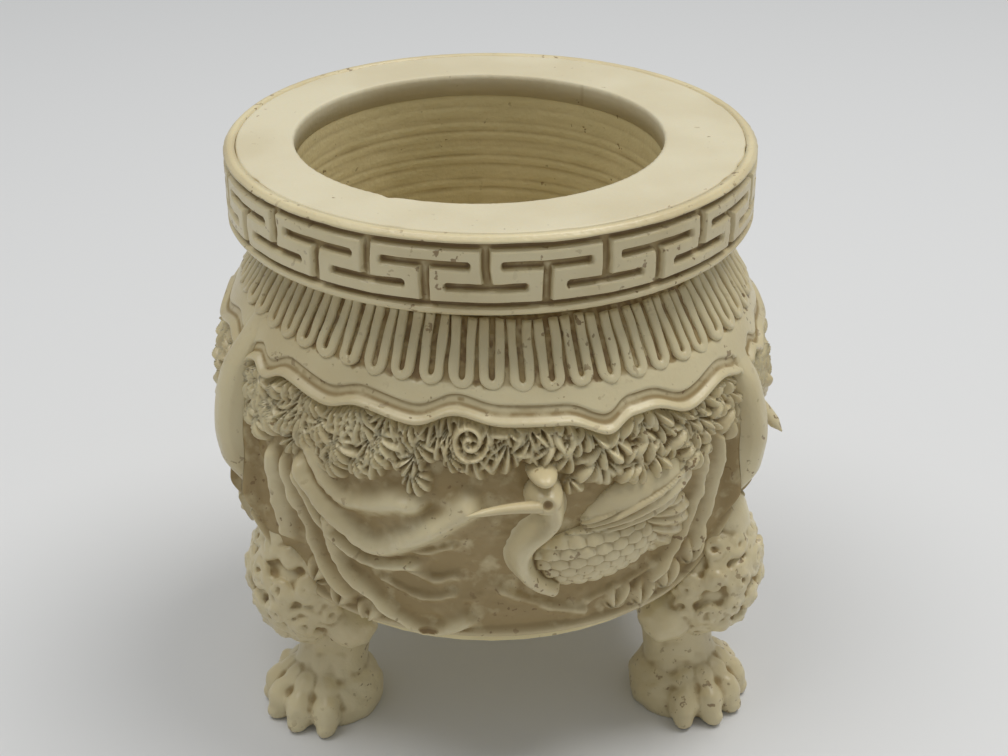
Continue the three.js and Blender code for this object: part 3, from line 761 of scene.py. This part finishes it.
def sceneRelief(s, z, top, foot, seed):
    rng = np.random.default_rng(seed)
    below = top - z
    reach = s.max()
    height = np.zeros(s.shape)
    for points, width, tall in strokes:
        height = np.maximum(height, strokeHeight(s, z, points, width, tall))
    height += 0.7 * softNoise(s / 2.6, z / 2.1, seed) + 0.25 * softNoise(s / 0.9, z / 0.8, seed + 1)
    # needle clusters on the left and rows of lobes on the right
    rows = foliage["frontRows"] if seed == scene["frontSeed"] else foliage["sideRows"]
    for row in range(rows):
        drop = foliage["firstDrop"] + foliage["rowDrop"] * row
        for x in np.arange(-reach, reach, foliage["pitch"]):
            x = x + rng.uniform(-0.9, 0.9) + 1.2 * (row % 2)
            if row > 1 + (abs(x) > foliage["needlesEnd"]) + rng.integers(0, 2):
                continue
            kind = foliage["needles" if x < foliage["needlesEnd"] else "lobes"]
            column = int(np.clip(np.searchsorted(s[:, 0], x), 0, len(s) - 1))
            centre = (x, top[column, 0] - drop + rng.uniform(-0.5, 0.5))
            radius = rng.uniform(*kind["radius"])
            tall = rng.uniform(*foliage["tall"]) - 0.15 * row
            near = np.hypot(s - centre[0], z - centre[1]) < radius
            aim = rng.uniform(*foliage["aim"])
            clump = fanHeight(s[near], z[near], centre, radius, aim, kind["ribs"], tall)
            height[near] = np.maximum(height[near], clump)
    curl = (-4.1 * scene["arc"], vessel["top"] - 0.70 * scene["unit"] - 1.2)
    height = np.maximum(height, spiralHeight(s, z, curl, 2.7, 3.2, 2.2))
    for k, (x, y) in enumerate(curlFolds):
        fold = (curl[0] + 2.2 + x, curl[1] + y)
        height = np.maximum(height, fanHeight(s, z, fold, 2.3, 0.6 * k, 6, 2.8))
    for x, y in reeds:
        lobe = (x * scene["arc"], vessel["top"] + scene["unit"] * y)
        height = np.maximum(height, fanHeight(s, z, lobe, 2.4, 1.2, 7, 1.7))
    bead = 1.0 * ease(z, foot + 1.7, foot + 0.4)
    height = np.maximum(height, bead)
    return height * ease(below, -0.2, 0.9)


def footAt(share):
    return vessel["footHeight"] + scene["rise"] * np.abs(share) ** scene["power"]


def makeScene(side, seed):
    centre, reach = windows[side]
    share = np.linspace(-1, 1, scene["columns"])[:, None]
    azimuths = centre + share[:, 0] * reach
    top = hemAt(azimuths)[:, None] - 0.3
    foot = footAt(share)
    down = np.linspace(0, 1, scene["rows"])[None, :]
    z = top + (foot - top) * down
    s = share * reach * scene["arc"] + 0 * z
    relief = sceneRelief(s, z, top, foot, seed)
    ground = bodyRadius(z) - scene["recess"] * ease(z, foot, foot + 12)
    wall = scene["wall"] * ease(np.abs(share), 0.965, 0.995)
    r = ground + np.maximum(relief, wall * ease(z, foot, foot + 4))
    r = np.minimum(r, scene["proud"])
    whole = np.ones_like(top)
    inner = vessel["wallRadius"] * whole
    radii = np.concatenate([r, inner, inner], 1)
    heights = np.concatenate([z, foot, top], 1)
    piece = makeShell("scene" + side.capitalize(), azimuths, np.stack([radii, heights], -1))
    low = np.zeros(radii.shape)
    # painted shade with wash: the recessed ground is tinted brown, more where the relief is low, so the
    # ridges stay light as if lit
    low[:, : scene["rows"]] = np.clip(0.8 - 0.17 * relief, 0, 1) * ease(top - z, 0, 1)
    addWashAndShade(piece, rounds=18, depth=0.42, extra=low.reshape(-1))
    finishPiece(piece, carvedIvory, ["scene_panel_" + side])


# Cranes: a patch of relief with feathers, and a free beak

crane = {
    "columns": 230,
    "rows": 190,
    "from": -6.0,
    "to": 47.0,
    "low": 29.5,
    "high": 54.5,
    "sink": 1.6,
    "proud": 41.2,
}
# domes of the bird: azimuth and height of the middle, half sizes, tilt and height of relief
domes = {
    "body": (22, 37.6, (10.4, 5.4), 3, 3.1),
    "wing": (30.5, 45.2, (8.8, 4.4), 14, 2.6),
    "tail": (38.5, 39.0, (4.6, 5.6), 28, 2.2),
    "head": (9.7, 49.0, (2.5, 2.3), 0, 4.9),
    "crest": (9.4, 52.1, (2.0, 1.2), 0, 4.9),
}
neckPath = [
    (12, -1.38), (8.2, -1.33), (6.0, -1.26), (5.7, -1.19), (7.4, -1.12), (9.9, -1.07), (11.2, -1.02),
    (10.6, -0.96),
]


def dome(s, z, name):
    azimuth, middle, size, tilt, tall = domes[name]
    c, d = math.cos(math.radians(tilt)), math.sin(math.radians(tilt))
    dx, dy = s - azimuth * scene["arc"], z - middle
    u, v = (dx * c + dy * d) / size[0], (dy * c - dx * d) / size[1]
    return tall * np.sqrt(np.clip(1 - u * u - v * v, 0, 1)), u, v


def scallops(u, v, columns, rows):
    row = np.floor(v * rows)
    x = (u * columns + 0.5 * (row % 2)) % 1 - 0.5
    y = (v * rows) % 1
    return 1 - np.clip(3.2 * x * x + y * y, 0, 1)


def craneRelief(s, z):
    arc = scene["arc"]
    body, u, v = dome(s, z, "body")
    height = body + 0.55 * scallops(u, v, 4.5, 3.5) * (body > 0.3)
    wing, _, v = dome(s, z, "wing")
    quills = 0.5 + 0.5 * np.cos(np.arctan2(z - 41.0, s - 11 * arc) * 52)
    height = np.maximum(height, wing + 0.5 * quills * (wing > 0.2) * (v < 0.25))
    tail = dome(s, z, "tail")[0]
    fan = 0.5 + 0.5 * np.cos(np.arctan2(z - 43.0, s - 24 * arc) * 40)
    height = np.maximum(height, tail + 0.5 * fan * (tail > 0.2))
    height = np.maximum(height, strokeHeight(s, z, neckPath, 1.55, 4.3, 2.6))
    height = np.maximum(height, np.maximum(dome(s, z, "head")[0], dome(s, z, "crest")[0]))
    eye = np.exp(-((np.hypot(s - 9.6 * arc, z - 49.2) / 0.72) ** 4))
    return height - 0.8 * eye, eye


def makeCrane(side, mirror, turn, shift, beak):
    centre = windows[side][0] + turn
    steps = np.linspace(crane["from"], crane["to"], crane["columns"])
    z = np.linspace(crane["high"], crane["low"], crane["rows"])[None, :] + 0 * steps[:, None]
    s = steps[:, None] * scene["arc"] + 0 * z
    relief, eye = craneRelief(s, z)
    z = z + shift
    relief = relief + 0.18 * softNoise(s, z, 61) * (relief > 0.5)
    r = bodyRadius(z) - scene["recess"] - crane["sink"]
    r = r + np.where(relief > 0.15, relief + crane["sink"] * 0.8, 0)
    r = np.minimum(r, crane["proud"])
    whole = np.ones((crane["columns"], 1))
    inner = vessel["wallRadius"] + 3
    sections = np.stack([
        np.concatenate([r, inner * whole, inner * whole], 1),
        np.concatenate([z, z[:, -1:], z[:, :1]], 1),
    ], -1)
    direction = -1 if mirror else 1
    piece = makeShell("crane" + side.capitalize(), centre + direction * steps, sections)
    extra = np.zeros(sections.shape[:2])
    extra[:, : crane["rows"]] = eye
    addWashAndShade(piece, rounds=14, depth=0.34, extra=extra.reshape(-1))
    finishPiece(piece, carvedIvory, ["crane_" + side])
    root = place(windows[side][0] + beak["root"][0], beak["root"][1], beak["root"][2])
    tip = place(windows[side][0] + beak["tip"][0], beak["tip"][1], beak["tip"][2])
    makeBeak("beak" + side.capitalize(), root, tip, beak["radius"])


def makeBeak(name, root, tip, radius):
    along = (tip - root).normalized()
    across = along.cross(Vector((0, 0, 1))).normalized()
    up = across.cross(along)
    points, corners, steps = [], 16, 14
    for k in range(steps):
        t = k / (steps - 1)
        size = radius * (1 - 0.6 * t) * min(1, 4 * (1 - t) + 0.15)
        here = root + (tip - root) * t + up * (0.35 * math.sin(math.pi * t))
        for c in range(corners):
            a = 2 * math.pi * c / corners
            points.append(here + across * (size * math.cos(a)) + up * (size * 0.8 * math.sin(a)))
    piece = makeMesh(name, points, tubeFaces(steps, corners))
    addWashAndShade(piece, rounds=2)
    finishPiece(piece, carvedIvory, [])


# Legs: lumps and curls that are melted together

leg = {
    "turn": 1.5,
    "shift": 1.6,
    "knee": (33.2, 23.6),
    "ankle": 28.2,
    "paw": 31.0,
    "voxel": 0.36,
    "toes": (-66, -35, -4, 28, 60),
    "kneeSize": (6.3, 8.4, 9.2),
    "rough": 0.45,
}
# the lumps of a toe, from the knuckle to the claw: distance, height and size
toeLumps = ((3.6, 5.0, (3.6, 2.3, 3.2)), (6.1, 3.0, (3.2, 2.35, 3.3)), (8.0, 1.2, (1.7, 1.5, 1.5)))
curlRows = ((44, 34, 2), (14, 30, 3), (-14, 30, 3), (-40, 34, 2))  # elevation, step and copies each side


def lump(work, at, size, turn, tilt=0.0):
    made = bmesh.ops.create_uvsphere(work, u_segments=24, v_segments=14, radius=1)
    a, t = math.radians(turn), math.radians(tilt)
    for vertex in made["verts"]:
        x, y, z = vertex.co.x * size[1], vertex.co.y * size[0], vertex.co.z * size[2]
        x, z = x * math.cos(t) - z * math.sin(t), x * math.sin(t) + z * math.cos(t)
        vertex.co = Vector((x * math.cos(a) - y * math.sin(a), x * math.sin(a) + y * math.cos(a), z)) + at


def tubeAlong(work, path, radii, corners=12):
    rings = []
    for k, here in enumerate(path):
        along = (path[min(k + 1, len(path) - 1)] - path[max(k - 1, 0)]).normalized()
        guide = Vector((0, 0, 1)) if abs(along.z) < 0.9 else Vector((1, 0, 0))
        across = along.cross(guide).normalized()
        up = across.cross(along)
        ring = []
        for c in range(corners):
            a = 2 * math.pi * c / corners
            ring.append(work.verts.new(here + (across * math.cos(a) + up * math.sin(a)) * radii[k]))
        rings.append(ring)
    for low, high in zip(rings, rings[1:]):
        for c in range(corners):
            d = (c + 1) % corners
            work.faces.new([low[c], low[d], high[d], high[c]])
    work.faces.new(rings[0])
    work.faces.new(rings[-1])


def makeLeg(side, azimuth):
    def at(reach, sideways, z):
        a = math.radians(azimuth)
        aside = Vector((leg["shift"] + math.cos(a) * sideways, math.sin(a) * sideways, 0))
        return place(azimuth, reach, z) + aside

    work = bmesh.new()
    reach, height = leg["knee"]
    knee = leg["kneeSize"]
    lump(work, at(reach, 0, height), knee, azimuth)
    lump(work, at(reach - 3.2, -7, height - 4.2), (4, 5, 3.6), azimuth, 20)
    lump(work, at(reach - 3.2, 7, height - 4.2), (4, 5, 3.6), azimuth, -20)
    lump(work, at(reach + 2.6, 0, height + 8), (2.6, 3.6, 5.0), azimuth)

    def onKnee(turn, rise, lift):
        flat = math.cos(rise)
        return at(
            reach + (knee[0] + lift) * flat * math.cos(turn),
            (knee[1] + lift) * flat * math.sin(turn),
            height + (knee[2] + lift) * math.sin(rise),
        )

    # snail curls over the knee
    for elevation, step, copies in curlRows:
        for k in range(-copies, copies + 1):
            turn0 = math.radians(k * step + 0.25 * elevation)
            rise0 = math.radians(elevation + 4 * math.sin(3 * k + elevation))
            size = 2.35 + 0.3 * math.sin(5 * k + elevation)
            pad = (1.0, size * 0.8, size * 0.8)
            lump(work, onKnee(turn0, rise0, -0.5), pad, azimuth + math.degrees(turn0))
            path, radii = [], []
            for i in range(26):
                t = i / 25
                angle = 2 * math.pi * 1.75 * t + k + elevation
                r = size * (1 - 0.88 * t)
                turn1 = turn0 + r * math.cos(angle) / (knee[1] * math.cos(rise0))
                path.append(onKnee(turn1, rise0 + r * math.sin(angle) / knee[2], 0.35 + 0.7 * t))
                radii.append(0.6 - 0.1 * t)
            tubeAlong(work, path, radii, 8)
    # ankle
    path = [at(leg["ankle"] + 1.6 * t**2, 0, 19 - 14 * t) for t in np.linspace(0, 1, 9)]
    radii = [6.8 - 2.2 * math.sin(math.pi * min(1, t * 1.15) / 2) + 1.1 * t**3 for t in np.linspace(0, 1, 9)]
    tubeAlong(work, path, radii, 24)
    # paw with knuckled toes and a short claw on each
    lump(work, at(leg["paw"] - 1.6, 0, 2.4), (7.4, 7.3, 6.6), azimuth)
    for angle in leg["toes"]:
        a = math.radians(angle)
        for distance, z, size in toeLumps:
            centre = at(leg["paw"] - 0.8 + distance * math.cos(a), distance * math.sin(a), z)
            lump(work, centre, size, azimuth + angle)
    bmesh.ops.recalc_face_normals(work, faces=work.faces)
    mesh = bpy.data.meshes.new("leg")
    for vertex in work.verts:
        vertex.co *= mm
    work.to_mesh(mesh)
    work.free()
    raw = bpy.data.objects.new("leg", mesh)
    bpy.context.scene.collection.objects.link(raw)
    remesh = raw.modifiers.new("melt", "REMESH")
    remesh.mode = "VOXEL"
    remesh.voxel_size = leg["voxel"] * mm
    relax = raw.modifiers.new("relax", "SMOOTH")
    relax.factor = 0.5
    relax.iterations = 2
    bpy.context.view_layer.update()
    melted = bpy.data.meshes.new_from_object(raw.evaluated_get(bpy.context.evaluated_depsgraph_get()))
    bpy.data.objects.remove(raw)
    points = np.empty(len(melted.vertices) * 3)
    melted.vertices.foreach_get("co", points)
    points = points.reshape(-1, 3) / mm
    seedShift = azimuth + 200
    rough = softNoise(points[:, 0] / 1.6 + seedShift, points[:, 2] / 1.6 + points[:, 1] / 2, 71)
    normals = np.empty(len(melted.vertices) * 3)
    melted.vertices.foreach_get("normal", normals)
    points += normals.reshape(-1, 3) * (leg["rough"] * rough)[:, None]
    points[:, 2] = np.maximum(points[:, 2], 0)
    melted.vertices.foreach_set("co", (points * mm).reshape(-1))
    melted.polygons.foreach_set("use_smooth", [True] * len(melted.polygons))
    piece = bpy.data.objects.new("leg" + side.capitalize(), melted)
    bpy.context.scene.collection.objects.link(piece)
    addWashAndShade(piece, rounds=7, depth=0.32)
    finishPiece(piece, carvedIvory, ["leg_" + side])


# Stage, light and camera

view = {"place": (0.0, -0.2169, 0.1613), "down": 28.13, "yaw": 0.47, "lens": 61.04}
# place, aim, size and power
lamps = {
    "keyLamp": ((-0.24, -0.06, 0.75), (0, 0, 0.04), 0.4, 1.7),
    "topLamp": ((0.3, 0.04, 0.8), (0, 0, 0.05), 0.45, 3.3),
}


def makeStage():
    mesh = bpy.data.meshes.new("floor")
    mesh.from_pydata([(-3, -3, 0), (3, -3, 0), (3, 3, 0), (-3, 3, 0)], [], [(0, 1, 2, 3)])
    floor = bpy.data.objects.new("floor", mesh)
    bpy.context.scene.collection.objects.link(floor)
    material = bpy.data.materials.new("floorPaper")
    material.use_nodes = True
    shader = material.node_tree.nodes["Principled BSDF"]
    shader.inputs["Base Color"].default_value = (0.72, 0.725, 0.735, 1)
    shader.inputs["Roughness"].default_value = 0.9
    mesh.materials.append(material)
    world = bpy.data.worlds.new("studio")
    world.use_nodes = True
    background = world.node_tree.nodes["Background"]
    background.inputs["Color"].default_value = (0.95, 0.98, 1.0, 1)
    background.inputs["Strength"].default_value = 0.36
    bpy.context.scene.world = world
    for name, (spot, aim, size, power) in lamps.items():
        lamp = bpy.data.lights.new(name, "AREA")
        lamp.shape = "DISK"
        lamp.size = size
        lamp.energy = power
        lamp.color = (1.0, 0.985, 0.95)
        light = bpy.data.objects.new(name, lamp)
        light.location = spot
        light.rotation_euler = (Vector(aim) - Vector(spot)).to_track_quat("-Z", "Y").to_euler()
        bpy.context.scene.collection.objects.link(light)
    camera = bpy.data.objects.new("camera", bpy.data.cameras.new("camera"))
    camera.data.lens = view["lens"]
    camera.data.sensor_width = 36
    camera.data.clip_start = 0.01
    camera.location = view["place"]
    camera.rotation_euler = (math.radians(90 - view["down"]), 0, math.radians(-view["yaw"]))
    bpy.context.scene.collection.objects.link(camera)
    bpy.context.scene.camera = camera
    bpy.context.scene.view_settings.view_transform = "Standard"


beaks = {
    "front": {"root": (8.6, 40.7, 49.0), "tip": (-4.6, 41.6, 48.3), "radius": 1.0},
    "left": {"root": (8.6, 40.7, 49.0), "tip": (-4.6, 41.6, 48.3), "radius": 1.1},
    "right": {"root": (-21.5, 38.6, 38.6), "tip": (-26.2, 43.4, 34.2), "radius": 1.9},
}

makeStage()
print("stage done")
makeRim()
makeBowl()
makeCollar()
makeNeck()
print("rim, bowl and collar done")
makeMantle()
makeStrips()
makeFluteRing()
print("mantle done")
for number, side in enumerate(windows):
    makeScene(side, scene["frontSeed"] + scene["seedStep"] * number)
print("scenes done")
makeCrane("front", False, 0, 0, beaks["front"])
makeCrane("left", False, 0, 0, beaks["left"])
makeCrane("right", True, -10, -10.4, beaks["right"])
print("cranes done")
for side, azimuth in (("left", -60), ("right", 60), ("rear", 180)):
    makeLeg(side, azimuth + leg["turn"])
print("legs done")
for name in ("base_disc", "leg_peg_left", "leg_peg_right", "leg_peg_rear"):
    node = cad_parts[name]
    node.data.materials.clear()
    node.data.materials.append(turnedIvoryWithPaintedLight)
